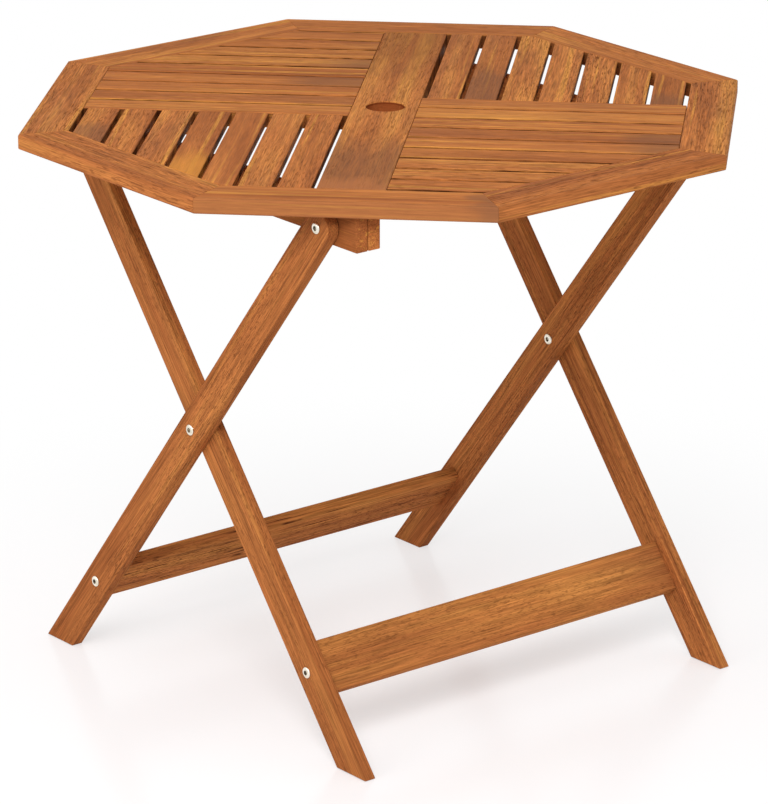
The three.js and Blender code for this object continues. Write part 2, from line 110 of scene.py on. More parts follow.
def hardwood(name, stops, gold, dusk, line_colour, fibre_counts, pore_counts):
    """A node group that gives timber's colour, roughness and height at a point.

    The point's x runs along the grain, which wanders a little. Bands and drift choose a
    colour between the stops, long threads turn to gold, clouds to dusk and growth rings
    round the heart to the line colour. Fibres shade it finely, more where the wood has more
    pores, and thresholds of long thin noises draw the pores and the broken dark lines.
    """
    tree = bpy.data.node_groups.new(name, "ShaderNodeTree")
    for label, kind in (("Vector", "Vector"), ("Shift", "Vector"), ("Heart", "Vector"),
                        ("Tone", "Float"), ("Lines", "Float"), ("Pores", "Float")):
        tree.interface.new_socket(label, in_out="INPUT", socket_type=f"NodeSocket{kind}")
    for label, kind in (("Color", "Color"), ("Roughness", "Float"), ("Height", "Float")):
        tree.interface.new_socket(label, in_out="OUTPUT", socket_type=f"NodeSocket{kind}")
    given = add_node(tree, "NodeGroupInput").outputs
    place = add_node(
        tree, "ShaderNodeVectorMath", {0: given["Vector"], 1: given["Shift"]}, operation="ADD").outputs[0]
    slow = add_node(
        tree, "ShaderNodeVectorMath", {0: place, 1: (2.0, 7.0, 7.0)}, operation="MULTIPLY").outputs[0]
    wander = add_node(tree, "ShaderNodeTexNoise", {"Vector": slow, "Scale": 1.0, "Detail": 1.0}).outputs[1]
    place = add_node(
        tree, "ShaderNodeVectorMath", {0: wander, 1: (0.0, 0.014, 0.014), 2: place},
        operation="MULTIPLY_ADD").outputs[0]

    bands = fibre_noise(tree, place, (1.2, 42.0, 60.0), 3.0)
    drift = fibre_noise(tree, place, (5.0, 13.0, 13.0), 2.0)
    tone = calculate(tree, "MULTIPLY", bands, 0.7)
    tone = calculate(tree, "ADD", tone, calculate(tree, "MULTIPLY", drift, 0.3))
    tone = calculate(tree, "ADD", tone, calculate(tree, "MULTIPLY", given["Tone"], 0.12))
    ramp = add_node(tree, "ShaderNodeValToRGB", {0: tone})
    ramp.color_ramp.elements.remove(ramp.color_ramp.elements[1])
    for index, (position, colour) in enumerate(stops):
        stop = ramp.color_ramp.elements[0] if index == 0 else ramp.color_ramp.elements.new(position)
        stop.position = position
        stop.color = colour
    threads = threshold(tree, fibre_noise(tree, place, (1.3, 110.0, 160.0), 1.0), 0.58, 0.7)
    colour = mix_colours(tree, calculate(tree, "MULTIPLY", threads, 0.38), ramp.outputs[0], gold)
    clouds = threshold(tree, fibre_noise(tree, place, (3.2, 13.0, 13.0), 2.0), 0.53, 0.72)
    colour = mix_colours(tree, calculate(tree, "MULTIPLY", clouds, 0.35), colour, dusk)

    from_heart = add_node(
        tree, "ShaderNodeVectorMath", {0: given["Vector"], 1: given["Heart"]},
        operation="SUBTRACT").outputs[0]
    along_slowly = add_node(
        tree, "ShaderNodeVectorMath", {0: from_heart, 1: (0.12, 1.0, 1.0)}, operation="MULTIPLY").outputs[0]
    rings = add_node(
        tree, "ShaderNodeTexWave",
        {"Vector": along_slowly, "Scale": 60.0, "Distortion": 9.0, "Detail": 3.0, "Detail Scale": 0.6},
        wave_type="RINGS", rings_direction="X", wave_profile="SAW").outputs[1]
    late_wood = threshold(tree, rings, 0.2, 1.0)
    colour = mix_colours(tree, calculate(tree, "MULTIPLY", late_wood, 0.13), colour, line_colour)

    fibres = fibre_noise(tree, place, fibre_counts, 3.0)
    strands = fibre_noise(tree, place, (3.0, 190.0, 420.0), 1.0)
    grain = calculate(tree, "ADD", calculate(tree, "MULTIPLY", strands, 0.3), fibres)
    swing = add_node(
        tree, "ShaderNodeMapRange",
        {"Value": grain, "From Min": 0.35, "From Max": 0.95, "To Min": -0.5, "To Max": 0.5}).outputs[0]
    coarseness = calculate(tree, "ADD", calculate(tree, "MULTIPLY", given["Pores"], 0.8), 0.45)
    shade = calculate(tree, "ADD", calculate(tree, "MULTIPLY", swing, coarseness), 1.0)
    colour = add_node(
        tree, "ShaderNodeVectorMath", {0: colour, 3: shade}, operation="SCALE").outputs[0]

    crowding = threshold(tree, fibre_noise(tree, place, (3.0, 26.0, 26.0)), 0.28, 0.62)
    pores = threshold(tree, fibre_noise(tree, place, pore_counts, 1.0), 0.56, 0.64)
    pores = calculate(tree, "MULTIPLY", calculate(tree, "MULTIPLY", pores, crowding), given["Pores"])
    dashes = threshold(tree, fibre_noise(tree, place, (24.0, 90.0, 90.0)), 0.4, 0.62)
    lines = threshold(tree, fibre_noise(tree, place, (5.0, 330.0, 330.0), 1.0), 0.58, 0.68)
    lines = calculate(tree, "MULTIPLY", calculate(tree, "MULTIPLY", lines, dashes), given["Lines"])
    dark = calculate(tree, "MAXIMUM", calculate(tree, "MULTIPLY", pores, 0.75), lines)
    colour = mix_colours(tree, dark, colour, line_colour)

    roughness = calculate(tree, "ADD", calculate(tree, "MULTIPLY", dark, 0.25), 0.42)
    roughness = calculate(tree, "ADD", roughness, calculate(tree, "MULTIPLY", fibres, 0.2))
    height = calculate(tree, "SUBTRACT", calculate(tree, "MULTIPLY", fibres, 0.35), dark)
    height = calculate(tree, "SUBTRACT", height, calculate(tree, "MULTIPLY", late_wood, 0.2))
    inputs = {"Color": colour, "Roughness": roughness, "Height": height}
    add_node(tree, "NodeGroupOutput", inputs)
    return tree


top_hardwood = hardwood(
    "top_hardwood",
    [(0.30, paint(152, 88, 47)), (0.42, paint(167, 99, 53)), (0.51, paint(180, 110, 58)),
     (0.60, paint(191, 122, 63)), (0.70, paint(204, 138, 68))],
    paint(222, 158, 70), paint(134, 82, 54), paint(84, 42, 22), (27.0, 580.0, 950.0), (58.0, 580.0, 580.0))
leg_hardwood = hardwood(
    "leg_hardwood",
    [(0.30, paint(141, 80, 43)), (0.42, paint(155, 92, 50)), (0.52, paint(168, 103, 56)),
     (0.62, paint(179, 115, 61)), (0.72, paint(192, 129, 68))],
    paint(190, 124, 64), paint(124, 74, 46), paint(80, 42, 24), (16.0, 680.0, 760.0), (110.0, 760.0, 760.0))

timber = np.random.default_rng(11)
patch_raggedness = 0.12
patch_share = 0.55
# side_blend fades in the side mix. The rest set the painted shade in the gaps between boards: how it fades
# in across the edge, how far down the gap walls it runs from the face, where it stops above the bottom, and
# its dark colour.
side_blend = (0.0014, 0.0003)
gap_shade_blend = (0.0010, 0.0002)
gap_shade_depth = (0.0004, 0.0019)
gap_shade_foot = 0.0015
gap_shade_colour = paint(62, 30, 14)


def wood_material(
        name, group, along, upward, centre, tone, lines, pores, painted_gap_shade=None, patches=(), side=None):
    """Hardwood whose grain runs along a board, with the heart of the tree below its face.

    The tone shifts the colour from dark below zero to light above it, and lines and pores
    say how strongly each shows. The painted gap shade gives the height of the board's face
    over the centre, below which the walls of the gaps between boards are painted dark as
    shade, how far across the board the shaded edges lie and how dark the others are. Each
    patch gives where along the board another colour starts and where it is full, and the
    colour. A side gives how far across the board its side faces lie, and a colour and how
    much of it is mixed in there. On most rims this quiets the figure of the quartered grain.
    On the front rim, the battens and the block it is painted shade, and on the hole's wall
    it darkens a band under the top edge.
    """
    material = bpy.data.materials.new(name)
    material.use_nodes = True
    tree = material.node_tree
    across = Vector(upward).cross(Vector(along))
    turn = Matrix((along, across, upward)).transposed().to_euler()
    shift = timber.uniform(-20, 20, 3)
    heart = (0.0, timber.uniform(-0.03, 0.03), timber.uniform(-0.16, -0.05))
    where = add_node(tree, "ShaderNodeTexCoord").outputs["Object"]
    local = add_node(
        tree, "ShaderNodeMapping", {"Vector": where, "Location": centre, "Rotation": turn},
        vector_type="TEXTURE").outputs[0]
    inputs = {"Vector": local, "Shift": shift, "Heart": heart, "Tone": tone, "Lines": lines, "Pores": pores}
    wood = add_node(tree, "ShaderNodeGroup", inputs, node_tree=group).outputs
    bump = add_node(
        tree, "ShaderNodeBump", {"Height": wood["Height"], "Strength": 0.35, "Distance": 0.0006})
    colour = wood["Color"]
    lengthwise, sideways, height = add_node(tree, "ShaderNodeSeparateXYZ", {0: local}).outputs
    from_middle = calculate(tree, "ABSOLUTE", sideways)
    if side is not None:
        side_reach, side_tint_and_shade, share = side
        upright = threshold(tree, from_middle, side_reach - side_blend[0], side_reach - side_blend[1])
        colour = mix_colours(tree, calculate(tree, "MULTIPLY", upright, share), colour, side_tint_and_shade)
    for start, full, patch_colour in patches:
        ragged = calculate(
            tree, "MULTIPLY", fibre_noise(tree, local, (12.0, 30.0, 30.0)), patch_raggedness)
        inside = threshold(
            tree, calculate(tree, "ADD", lengthwise, ragged), start + patch_raggedness / 2,
            full + patch_raggedness / 2)
        colour = mix_colours(
            tree, calculate(tree, "MULTIPLY", inside, patch_share), colour, patch_colour)
    # Painted shade: the walls of the gaps between boards are darkened from just under the face to just above
    # the bottom. This stands in for the shade that falls into the gaps, and it comes in blotches along each
    # seam.
    if painted_gap_shade is not None:
        face, edge, elsewhere = painted_gap_shade
        place = add_node(
            tree, "ShaderNodeVectorMath", {0: local, 1: shift}, operation="ADD").outputs[0]
        reach = sideways if elsewhere == 0 else from_middle
        share = add_node(
            tree, "ShaderNodeMapRange",
            {"Value": reach, "From Min": edge - gap_shade_blend[0], "From Max": edge - gap_shade_blend[1],
             "To Min": elsewhere}).outputs[0]
        gap_shade_blotches = add_node(
            tree, "ShaderNodeMapRange",
            {"Value": fibre_noise(tree, place, (30.0, 20.0, 20.0)), "From Min": 0.3, "From Max": 0.7,
             "To Min": 0.1, "To Max": 1.1}).outputs[0]
        gap_shade = threshold(tree, height, face - gap_shade_depth[0], face - gap_shade_depth[1])
        gap_shade = calculate(tree, "MULTIPLY", gap_shade, threshold(tree, height, 0.0, gap_shade_foot))
        gap_shade = calculate(tree, "MULTIPLY", calculate(tree, "MULTIPLY", gap_shade, share), gap_shade_blotches)
        colour = mix_colours(tree, gap_shade, colour, gap_shade_colour)
    shader = tree.nodes["Principled BSDF"]
    shader.inputs["Specular IOR Level"].default_value = 0.01
    tree.links.new(colour, shader.inputs["Base Color"])
    tree.links.new(wood["Roughness"], shader.inputs["Roughness"])
    tree.links.new(bump.outputs[0], shader.inputs["Normal"])
    return material


# Boards of the top
# Eight mitred rim boards, a centre board with the hole for the pole, and thinner slats let
# into them. All edges are rounded over with a cutter, the rim's outer edge the most.
rim_outer_round = 0.0026
board_round = 0.0014
mitre_round = 0.0004
hole_round = 0.0016
fillet_steps = 5
millimetre = 0.001
level_tolerance = 1e-5
straight_tolerance = 1e-8


def moved_outline(points, inset):
    """An outline whose edge i, from point i to the next, is moved inwards by inset[i].

    Each corner moves by a sum of the normals of its two edges, a = s / (1 + c) + t / (1 - c)
    and b = s / (1 + c) - t / (1 - c), where c is the cosine between them and s and t are
    half the sum and half the difference of their insets.
    """
    edges = np.roll(points, -1, axis=0) - points
    normals = np.stack([edges[:, 1], -edges[:, 0]], axis=1)
    normals /= np.linalg.norm(normals, axis=1)[:, None]
    before = np.roll(normals, 1, axis=0)
    cosine = (before * normals).sum(axis=1)
    half_sum = (np.roll(inset, 1) + inset) / 2
    half_difference = (np.roll(inset, 1) - inset) / 2
    apart = np.where(half_difference == 0, 1.0, 1 - cosine)
    first = half_sum / (1 + cosine) + half_difference / apart
    second = half_sum / (1 + cosine) - half_difference / apart
    return points - first[:, None] * before - second[:, None] * normals, normals, before


def rounded_board(name, loops, thickness, rise, axes, origin):
    """A board with rounded edges as one closed mesh, from its outline and its holes.

    Each loop is (points, inset of each edge, which points are round), the outline counter-
    clockwise and holes clockwise. Ring k of a loop's wall is the loop moved inwards by
    inset * (1 - cos t), at height rise * (1 + sin t) for t from -90 to 0 degrees, and the
    same again with the rest of the thickness added for t from 0 to 90 degrees. Faces with
    holes are filled in millimetres, because the filling merges points that lie close.
    """
    quarter = np.linspace(0, math.pi / 2, fillet_steps + 1)
    turns = np.concatenate([quarter - math.pi / 2, quarter])
    heights = rise * (1 + np.sin(turns)) + np.repeat([0, thickness - 2 * rise], fillet_steps + 1)
    rings = len(turns)
    places, faces, face_normals, caps, start = [], [], [], [], 0
    for points, inset, is_round in loops:
        count = len(points)
        for turn, height in zip(turns, heights):
            moved, normals, before = moved_outline(points, inset * (1 - math.cos(turn)))
            places.append(np.column_stack([moved, np.full(count, height)]))
        blended = (normals + before) / np.linalg.norm(normals + before, axis=1)[:, None]
        at_start = np.where(is_round[:, None], blended, normals)
        at_end = np.where(np.roll(is_round, -1)[:, None], np.roll(blended, -1, axis=0), normals)
        near, far = np.arange(count), np.roll(np.arange(count), -1)
        for ring in range(rings - 1):
            low, high = start + ring * count, start + (ring + 1) * count
            faces += np.stack([low + near, low + far, high + far, high + near], axis=1).tolist()
            corners = [(at_start, turns[ring]), (at_end, turns[ring]),
                       (at_end, turns[ring + 1]), (at_start, turns[ring + 1])]
            tilted = [
                np.column_stack([level * math.cos(turn), np.full(count, math.sin(turn))])
                for level, turn in corners]
            face_normals.append(np.stack(tilted, axis=1).reshape(-1, 3))
        caps.append((start, start + (rings - 1) * count, count))
        start += rings * count
    local = np.concatenate(places)
    cap_faces = []
    for level, facing in ((0, -1), (1, 1)):
        indices = np.concatenate([np.arange(cap[level], cap[level] + cap[2]) for cap in caps])
        if len(loops) == 1:
            cap_faces.append((indices[::facing].tolist(), facing))
            continue
        split = np.cumsum([cap[2] for cap in caps])[:-1]
        polygons = [
            [Vector(point) for point in local[part] / millimetre] for part in np.split(indices, split)]
        for triangle in tessellate_polygon(polygons):
            corner = local[indices[list(triangle)]]
            area = np.cross(corner[1] - corner[0], corner[2] - corner[0])[2]
            order = 1 if area * facing > 0 else -1
            cap_faces.append((indices[list(triangle)][::order].tolist(), facing))
    for face, facing in cap_faces:
        faces.append(face)
        face_normals.append(np.tile([0.0, 0.0, facing], (len(face), 1)))
    axes = np.array([list(axis) for axis in axes])
    mesh = bpy.data.meshes.new(name)
    mesh.from_pydata((local @ axes + np.array(origin)).tolist(), [], faces)
    mesh.normals_split_custom_set((np.concatenate(face_normals) @ axes).tolist())
    made = bpy.data.objects.new(name, mesh)
    bpy.context.scene.collection.objects.link(made)
    return made


def circle(radius, centre, sides, clockwise=True):
    """Points round a circle, clockwise for a hole."""
    angle = np.linspace(0, 2 * math.pi, sides, endpoint=False)
    angle = -angle if clockwise else angle
    return np.stack([centre[0] + radius * np.cos(angle), centre[1] + radius * np.sin(angle)], axis=1)


def node_points(name):
    """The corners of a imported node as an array."""
    mesh = frame["nodes"][name].data
    points = np.zeros(len(mesh.vertices) * 3)
    mesh.vertices.foreach_get("co", points)
    return points.reshape(-1, 3)


def upper_face(name):
    """The outline of a board's upper face, counterclockwise and without points on a line."""
    points = node_points(name)
    flat = points[points[:, 2] > points[:, 2].max() - level_tolerance][:, :2]
    flat = np.unique(flat.round(6), axis=0)
    hull = flat[convex_hull_2d([Vector(point) for point in flat])]
    ahead = np.roll(hull, -1, axis=0) - hull
    behind = hull - np.roll(hull, 1, axis=0)
    turning = ahead[:, 1] * behind[:, 0] - ahead[:, 0] * behind[:, 1]
    return hull[np.abs(turning) > straight_tolerance]


def finish_board(made, node_name, body, material):
    """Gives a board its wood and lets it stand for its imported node."""
    made.data.materials.append(material)
    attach(made, body)
    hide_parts(node_name)


straight_up = Vector((0, 0, 1))
top_low, top_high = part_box("rim_front")
top_thickness = top_high.z - top_low.z
top_axes = [(1, 0, 0), (0, 1, 0), (0, 0, 1)]

dusky, golden = paint(120, 80, 56), paint(212, 142, 60)
board_patches = {
    "rim_front": [(0.15, 0.18, dusky)],
    "slat_right_4": [(0.08, 0.16, dusky)], "slat_right_5": [(0.06, 0.14, dusky)],
    "slat_left_6": [(0.06, 0.16, dusky)], "slat_left_4": [(0.04, 0.14, dusky)],
    "slat_front_left_7": [(0.02, -0.04, dusky)], "slat_front_left_4": [(-0.03, -0.12, golden)],
    "slat_back_right_2": [(0.0, -0.07, dusky)], "slat_back_right_7": [(0.0, -0.06, dusky)],
}
rim_looks = {
    "front": (-0.1, 0.15, 0.2), "front_right": (-1.0, 0.4, 0.9), "right": (0.0, 0.4, 0.85),
    "back_right": (-0.1, 0.15, 0.5), "back": (-0.2, 0.1, 0.4), "back_left": (0.0, 0.2, 0.6),
    "left": (0.2, 0.3, 0.85), "front_left": (0.0, 0.4, 0.8),
}
for index, (side, (tone, lines, pores)) in enumerate(rim_looks.items()):
    node_name = f"rim_{side}"
    face = upper_face(node_name)
    lengths = np.linalg.norm(np.roll(face, -1, axis=0) - face, axis=1)
    outer = int(lengths.argmax())
    grown = np.zeros(4)
    grown[outer], grown[(outer + 2) % 4] = -rim_outer_round, -board_round
    outline = moved_outline(face, grown)[0]
    inset = np.full(4, mitre_round)
    inset[outer], inset[(outer + 2) % 4] = rim_outer_round, board_round
    loop = (outline, inset, np.zeros(4, bool))
    made = rounded_board(
        f"rim_board_{side}", [loop], top_thickness, rim_outer_round, top_axes, (0, 0, top_low.z))
    angle = index * math.pi / 4
    grain = Vector((math.cos(angle), math.sin(angle), 0))
    middle = (*face.mean(axis=0), top_low.z)
    half_width = np.ptp(face @ np.array([-grain.y, grain.x])) / 2
    # The sides of most rims get a mix that quiets their grain. The front rim's side, which faces the main
    # lamp, gets a darker one as painted shade. The inner wall against the slats gets painted gap shade.
    side_tint_and_shade = (paint(134, 86, 56), 0.55) if side == "front" else (paint(160, 98, 58), 0.3)
    material = wood_material(
        f"rim_wood_{side}", top_hardwood, grain, straight_up, middle, tone, lines, pores,
        painted_gap_shade=(top_thickness, half_width, 0.0), patches=board_patches.get(node_name, []),
        side=(half_width, *side_tint_and_shade))
    finish_board(made, node_name, "tabletop", material)

slat_looks = {
    "right": [(-0.1, 0.1, 0.3), (0.6, 0.1, 0.3), (-0.3, 0.2, 0.5), (-0.4, 0.2, 0.4), (0.2, 0.1, 0.3),
              (-0.3, 0.2, 0.4), (0.1, 0.4, 0.8), (0.2, 0.4, 0.8), (0.2, 0.4, 0.8)],
    "left": [(0.5, 0.1, 0.4), (-0.3, 0.1, 0.4), (0.1, 0.1, 0.3), (0.0, 0.1, 0.3), (-0.4, 0.2, 0.4),
             (0.7, 0.4, 0.5), (0.0, 0.4, 0.5), (0.2, 0.4, 0.6), (0.0, 0.2, 0.4)],
    "back_right": [(0.2, 0.1, 0.5), (-0.1, 0.1, 0.5), (0.6, 0.2, 0.9), (0.5, 0.1, 0.9),
                   (-0.2, 0.4, 1.0), (0.1, 0.2, 0.6), (-0.7, 0.1, 0.4)],
    "front_left": [(-0.8, 0.2, 0.6), (-0.2, 0.2, 0.5), (-0.5, 0.0, 0.2), (-1.0, 0.1, 0.4),
                   (0.3, 0.1, 0.8), (0.2, 0.2, 0.6), (-0.6, 0.2, 0.7)],
}
# On these slats the painted shade on the gap walls starts a little higher, so their seams read darker.
deeper_gap_shade_slats = {f"slat_{half}_{number}" for half in ("left", "right") for number in (6, 7, 8, 9)}
gap_shade_spread = 0.0006
for field, looks in slat_looks.items():
    grain = Vector((0, 1, 0)) if "_" in field else Vector((1, 0, 0))
    for number, (tone, lines, pores) in enumerate(looks, 1):
        node_name = f"slat_{field}_{number}"
        face = upper_face(node_name)
        inset = np.full(len(face), board_round)
        outline = moved_outline(face, -inset)[0]
        loop = (outline, inset, np.zeros(len(face), bool))
        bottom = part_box(node_name)[0].z
        thickness = top_high.z - bottom
        made = rounded_board(
            f"slat_board_{field}_{number}", [loop], thickness, board_round, top_axes, (0, 0, bottom))
        middle = (*face.mean(axis=0), bottom)
        half_width = np.ptp(face @ np.array([-grain.y, grain.x])) / 2
        shade_spread = gap_shade_spread if node_name in deeper_gap_shade_slats else 0.0
        material = wood_material(
            f"slat_wood_{field}_{number}", top_hardwood, grain, straight_up, middle, tone, lines, pores,
            painted_gap_shade=(thickness + shade_spread, half_width, 0.8), patches=board_patches.get(node_name, []))
        finish_board(made, node_name, "tabletop", material)

pole_hole_radius = 0.025
hole_sides = 96
face = upper_face("centre_board")
inset = np.full(len(face), board_round)
hole = circle(pole_hole_radius, (0, 0), hole_sides)
loops = [
    (moved_outline(face, -inset)[0], inset, np.zeros(len(face), bool)),
    (hole, np.full(hole_sides, hole_round), np.ones(hole_sides, bool)),
]
centre_board = rounded_board(
    "pole_board", loops, top_thickness, board_round, top_axes, (0, 0, top_low.z))
# The centre board's gap walls get painted shade, full at its long edges and weaker elsewhere.
centre_wood = wood_material(
    "centre_board_wood", top_hardwood, Vector((0, 1, 0)), straight_up, (0, 0, top_low.z),
    tone=0.6, lines=0.2, pores=0.6, painted_gap_shade=(top_thickness, np.ptp(face[:, 0]) / 2, 0.35),
    patches=[(-0.12, -0.24, paint(106, 70, 50)), (-0.31, -0.37, paint(174, 108, 65)),
             (0.03, 0.36, paint(112, 60, 32))])
finish_board(centre_board, "centre_board", "tabletop", centre_wood)
# The hole's wall is darker all over, and darkest in a band just under its top edge.
bore_wood = wood_material(
    "pole_hole_wood", leg_hardwood, Vector((1, 0, 0)), Vector((0, -1, 0)), (0, 0, top_low.z),
    tone=-1.0, lines=0.2, pores=0.2, patches=[(-1.0, -0.9, paint(112, 42, 12))],
    side=(0.017, paint(70, 30, 14), 0.6))
centre_board.data.materials.append(bore_wood)
walls = 2 * fillet_steps + 1
hole_start = walls * len(face) + fillet_steps * hole_sides
for polygon in centre_board.data.polygons[hole_start:hole_start + hole_sides]:
    polygon.material_index = 1


# Battens and spacer block
# Two rails under the top and the block beside the left one, sawn from the same timber.
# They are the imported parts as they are, with the grain run along each rail.
across_frames = Vector((1, 1, 0)).normalized()
along_fold = Vector((-1, 1, 0)).normalized()
# The sides of the battens and the block get a darker brown mixed in. This is painted shade on those faces,
# which sit under the top.
for node_name, tone in (("batten_left", -0.7), ("batten_right", -0.1), ("spacer_block", -1.6)):
    low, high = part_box(node_name)
    centre = (low + high) / 2
    half_width = np.ptp(node_points(node_name) @ np.array(across_frames)) / 2
    wood = wood_material(
        f"{node_name}_wood", top_hardwood, along_fold, straight_up, centre, tone, lines=0.3, pores=0.6,
        side=(half_width, paint(122, 70, 36), 0.45))
    node_object = frame["nodes"][node_name]
    node_object.data.materials.clear()
    node_object.data.materials.append(wood)


# Legs
# Four straight legs with a round upper end and a foot cut level with the floor, bored for
# their bolts. Two crossed pairs, each pair half a turn from the other.
leg_width = 0.044
leg_round = 0.0018
bore_radius = 0.0043
stretcher_bore_radius = 0.0035
bore_sides = 32
arc_points = 33
stretcher_height = 0.110
joint_places = {joint["name"]: Vector(joint["pos_m"]) for joint in frame["joints"]}
crossing_height = joint_places["leg_fold"].z
pivot_height = joint_places["top_follow"].z
pivot_reach = -joint_places["top_follow"].dot(along_fold)
lean_slope = pivot_reach / (pivot_height - crossing_height)
lean = math.atan(lean_slope)


def leg_line(height):
    """How far from the middle a leg's centre line is at a height, towards its foot."""
    return lean_slope * (crossing_height - height)


def span(name, direction):
    """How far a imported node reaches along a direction, lowest and highest."""
    reach = node_points(name) @ np.array(direction)
    return reach.min(), reach.max()


def leg_outline():
    """A leg from the side: a level foot, straight sides and a half circle at the top."""
    half = leg_width / 2
    foot = half / math.cos(lean)
    angles = np.linspace(lean, lean + math.pi, arc_points)
    arc = np.stack([half * np.cos(angles) - pivot_reach, half * np.sin(angles) + pivot_height], axis=1)
    sole = np.array([[leg_line(0) - foot, 0], [leg_line(0) + foot, 0]])
    return np.concatenate([sole, arc]), np.array([False, False, *np.ones(arc_points, bool)])


legs = {
    "pivot_leg_left": ("pivot_frame", 1, True, 0.0),
    "pivot_leg_right": ("pivot_frame", 1, True, 0.0),
    "crossbar_leg_left": ("crossbar_frame", -1, False, 0.1),
    "crossbar_leg_right": ("crossbar_frame", -1, False, 0.0),
}
for node_name, (body, side, has_pivot, tone) in legs.items():
    low, high = span(node_name, across_frames * side)
    outline, is_round = leg_outline()
    loops = [(outline, np.full(len(outline), leg_round), is_round)]
    bores = [(bore_radius, (0, crossing_height)),
             (stretcher_bore_radius, (leg_line(stretcher_height), stretcher_height))]
    if has_pivot:
        bores.append((bore_radius, (-pivot_reach, pivot_height)))
    for radius, centre in bores:
        ring = circle(radius, centre, bore_sides)
        loops.append((ring, np.zeros(bore_sides), np.ones(bore_sides, bool)))
    axes = [along_fold * side, straight_up, across_frames * side]
    made = rounded_board(
        node_name.replace("leg", "leg_board"), loops, high - low, leg_round, axes, axes[2] * low)
    grain = (straight_up - along_fold * side * lean_slope).normalized()
    middle = straight_up * crossing_height + axes[2] * low
    material = wood_material(
        f"{node_name}_wood", leg_hardwood, grain, axes[2], middle, tone, lines=0.5, pores=0.7)
    finish_board(made, node_name, body, material)


# Stretchers
# One wide board between the two legs of each frame, its long edges well rounded. Its ends
# butt against the legs, where a bolt draws each one tight.
stretcher_width = 0.070
stretcher_thickness = 0.018
stretcher_round = 0.003
stretcher_end_round = 0.0004


def rounded_rectangle(width, height, radius, steps):
    """A rectangle with quarter circles for corners, counterclockwise."""
    angles = np.linspace(0, math.pi / 2, steps + 1)
    points = []
    for quarter, (x, y) in enumerate([(1, 1), (-1, 1), (-1, -1), (1, -1)]):
        turned = angles + quarter * math.pi / 2
        corner = np.stack([np.cos(turned), np.sin(turned)], axis=1) * radius
        points.append(corner + [x * (width / 2 - radius), y * (height / 2 - radius)])
    return np.concatenate(points)


for node_name, body, side, tone, lines, pores in (
        ("back_stretcher", "pivot_frame", 1, 0.4, 1.2, 1.0),
        ("front_stretcher", "crossbar_frame", -1, 0.8, 0.3, 0.6)):
    low, high = span(node_name, across_frames * side)
    section = rounded_rectangle(stretcher_width, stretcher_thickness, stretcher_round, fillet_steps)
    loop = (section, np.full(len(section), stretcher_end_round), np.ones(len(section), bool))
    up_leg = (straight_up - along_fold * side * lean_slope).normalized()
    axes = [up_leg, (across_frames * side).cross(up_leg), across_frames * side]
    centre = along_fold * side * leg_line(stretcher_height) + straight_up * stretcher_height
    made = rounded_board(
        f"{node_name}_board", [loop], high - low, stretcher_end_round, axes, centre + axes[2] * low)
    material = wood_material(
        f"{node_name}_wood", leg_hardwood, axes[2], axes[1], centre, tone, lines, pores)
    finish_board(made, node_name, body, material)


# Crossbar
# A turned rod between the upper ends of one leg frame, with a tenon in each leg. The
# battens rest on it in their notches when the table stands.
crossbar_ease = 0.0015
tenon_radius = 0.007
tenon_length = 0.012
rod_sides = 72


def turned_piece(name, profile, sides, axis, origin, corners=None):
    """A turned piece as one closed mesh.

    Point (i, j) lies at profile radius i, along the axis by profile height i, at angle j
    round it. Where the profile's third number is 1, the radius is multiplied by the
    outline given for each angle, which makes a recess with corners.
    """
    angle = np.arange(sides) * 2 * math.pi / sides
    corners = np.ones(sides) if corners is None else corners
    inner = np.array(profile[1:-1], float)
    radius = inner[:, :1] * (1 + inner[:, 2:] * (corners - 1))
    axis = np.array(axis)
    first = np.array([1.0, 0.0, 0.0] if abs(axis[2]) > 0.5 else [0.0, 0.0, 1.0])
    second = np.cross(axis, first)
    ring = (np.cos(angle)[:, None] * first + np.sin(angle)[:, None] * second)
    points = radius[:, :, None] * ring + (inner[:, 1, None] * axis)[:, None, :]
    poles = [profile[0][1] * axis, profile[-1][1] * axis]
    places = np.concatenate([points.reshape(-1, 3), poles]) + np.array(origin)
    near, far = np.arange(sides), np.roll(np.arange(sides), -1)
    faces = []
    for row in range(len(inner) - 1):
        low, high = row * sides, (row + 1) * sides
        faces += np.stack([low + near, low + far, high + far, high + near], axis=1).tolist()
    bottom, top = len(places) - 2, len(places) - 1
    last = (len(inner) - 1) * sides
    faces += np.stack([far, near, np.full(sides, bottom)], axis=1).tolist()
    faces += np.stack([last + near, last + far, np.full(sides, top)], axis=1).tolist()
    mesh = bpy.data.meshes.new(name)
    mesh.from_pydata(places.tolist(), [], faces)
    mesh.shade_smooth()
    mesh.set_sharp_from_angle(angle=math.radians(35))
    made = bpy.data.objects.new(name, mesh)
    bpy.context.scene.collection.objects.link(made)
    return made


low, high = span("crossbar", across_frames)
rod_low, rod_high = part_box("crossbar")
rod_radius = (rod_high.z - rod_low.z) / 2
rod_centre = along_fold * sum(span("crossbar", along_fold)) / 2 + straight_up * (rod_high.z + rod_low.z) / 2
shoulder_low, shoulder_high = low + tenon_length, high - tenon_length
rod_profile = [
    (0, low, 0), (tenon_radius, low, 0), (tenon_radius, shoulder_low, 0),
    (rod_radius - crossbar_ease, shoulder_low, 0), (rod_radius, shoulder_low + crossbar_ease, 0),
    (rod_radius, shoulder_high - crossbar_ease, 0), (rod_radius - crossbar_ease, shoulder_high, 0),
    (tenon_radius, shoulder_high, 0), (tenon_radius, high, 0), (0, high, 0),
]
crossbar = turned_piece("crossbar_rod", rod_profile, rod_sides, across_frames, rod_centre)
rod_wood = wood_material(
    "crossbar_wood", leg_hardwood, across_frames, straight_up, rod_centre, tone=0.2, lines=0.3, pores=0.8)
finish_board(crossbar, "crossbar", "crossbar_frame", rod_wood)


